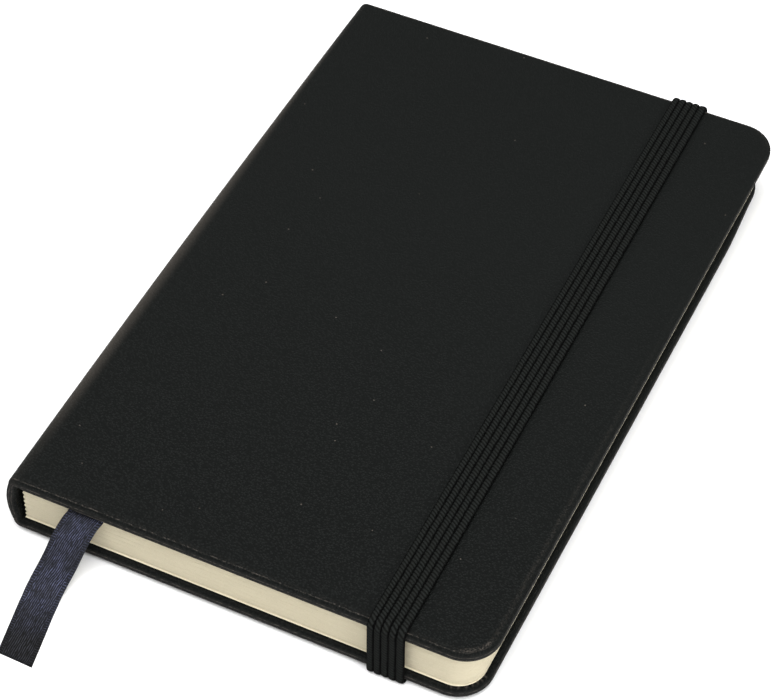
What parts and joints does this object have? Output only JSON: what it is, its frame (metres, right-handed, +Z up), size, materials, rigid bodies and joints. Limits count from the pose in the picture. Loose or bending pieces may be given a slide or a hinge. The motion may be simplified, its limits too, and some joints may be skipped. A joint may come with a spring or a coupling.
{
  "type": "pocket notebook",
  "caption": "Hard-covered pocket notebook, section-sewn, with an elastic closure band, a ribbon marker and round fore-edge corners; the cover, first leaves and band move.",
  "frame": {"origin": "middle of the footprint of the closed book without its ribbon, on the surface it lies on", "axes": "+Z up out of the front cover, +X from the spine to the fore edge, +Y from the foot to the head"},
  "size_m": [0.0906, 0.1657, 0.0144],
  "materials": {
    "leatherette": "fine-grained, satin",
    "greyboard": "dense grey board, uncoated",
    "page_paper": "cream, uncoated, blank",
    "endpaper": "cream, uncoated, blank",
    "elastic": "ribbed flat braid, matt",
    "satin_ribbon": "woven satin with closed edges",
    "gauze": "open weave, glued",
    "thread": "linen sewing thread"
  },
  "bodies": {
    "text_block": {"back_board": "greyboard", "back_cover_skin": "leatherette", "back_pastedown": "endpaper", "back_flyleaf": "endpaper", "section_1": "page_paper", "section_2": "page_paper", "section_3": "page_paper", "section_4": "page_paper", "section_5": "page_paper", "section_6": "page_paper", "sewing_thread": "thread", "spine_gauze": "gauze", "spine_lining": "gauze", "elastic_head_end": "elastic", "elastic_foot_end": "elastic", "ribbon_marker": "satin_ribbon"},
    "spine": {"spine_board": "greyboard", "spine_skin": "leatherette", "back_joint_skin": "leatherette"},
    "front_cover": {"front_board": "greyboard", "front_cover_skin": "leatherette", "front_pastedown": "endpaper", "front_joint_skin": "leatherette"},
    "front_flyleaf_body": {"front_flyleaf": "endpaper"},
    "leaf_1_body": {"leaf_1": "page_paper"},
    "leaf_2_body": {"leaf_2": "page_paper"},
    "leaf_3_body": {"leaf_3": "page_paper"},
    "band": {"elastic_strap": "elastic", "elastic_head_leg": "elastic", "elastic_foot_leg": "elastic"}
  },
  "joints": [
    {"name": "spine_hinge", "type": "hinge", "parent": "text_block", "child": "spine", "pos_m": [-0.04478, 0, 0.00089], "axis": [0, -1, 0], "range_deg": [0, 90], "deforming": ["back_joint_skin"]},
    {"name": "front_cover_hinge", "type": "hinge", "parent": "spine", "child": "front_cover", "pos_m": [-0.04478, 0, 0.01316], "axis": [0, -1, 0], "range_deg": [0, 90], "deforming": ["front_joint_skin"]},
    {"name": "front_flyleaf_turn", "type": "hinge", "parent": "text_block", "child": "front_flyleaf_body", "pos_m": [-0.04305, 0, 0.01092], "axis": [0, -1, 0], "range_deg": [0, 184.5]},
    {"name": "leaf_1_turn", "type": "hinge", "parent": "text_block", "child": "leaf_1_body", "pos_m": [-0.0426, 0, 0.01077], "axis": [0, -1, 0], "range_deg": [0, 150]},
    {"name": "leaf_2_turn", "type": "hinge", "parent": "text_block", "child": "leaf_2_body", "pos_m": [-0.04235, 0, 0.01062], "axis": [0, -1, 0], "range_deg": [0, 112.5]},
    {"name": "leaf_3_turn", "type": "hinge", "parent": "text_block", "child": "leaf_3_body", "pos_m": [-0.04225, 0, 0.01047], "axis": [0, -1, 0], "range_deg": [0, 72]},
    {"name": "band_release", "type": "hinge", "parent": "text_block", "child": "band", "pos_m": [0.03285, 0, 0.00092], "axis": [0, 1, 0], "range_deg": [0, 90], "deforming": ["elastic_strap", "elastic_head_leg", "elastic_foot_leg"]}
  ],
  "couplings": [
    {"joint": "spine_hinge", "follows": "front_cover_hinge", "ratio": 1},
    {"joint": "front_flyleaf_turn", "follows": "front_cover_hinge", "ratio": 2.05},
    {"joint": "leaf_1_turn", "follows": "front_cover_hinge", "ratio": 1.6667},
    {"joint": "leaf_2_turn", "follows": "front_cover_hinge", "ratio": 1.25},
    {"joint": "leaf_3_turn", "follows": "front_cover_hinge", "ratio": 0.8}
  ]
}
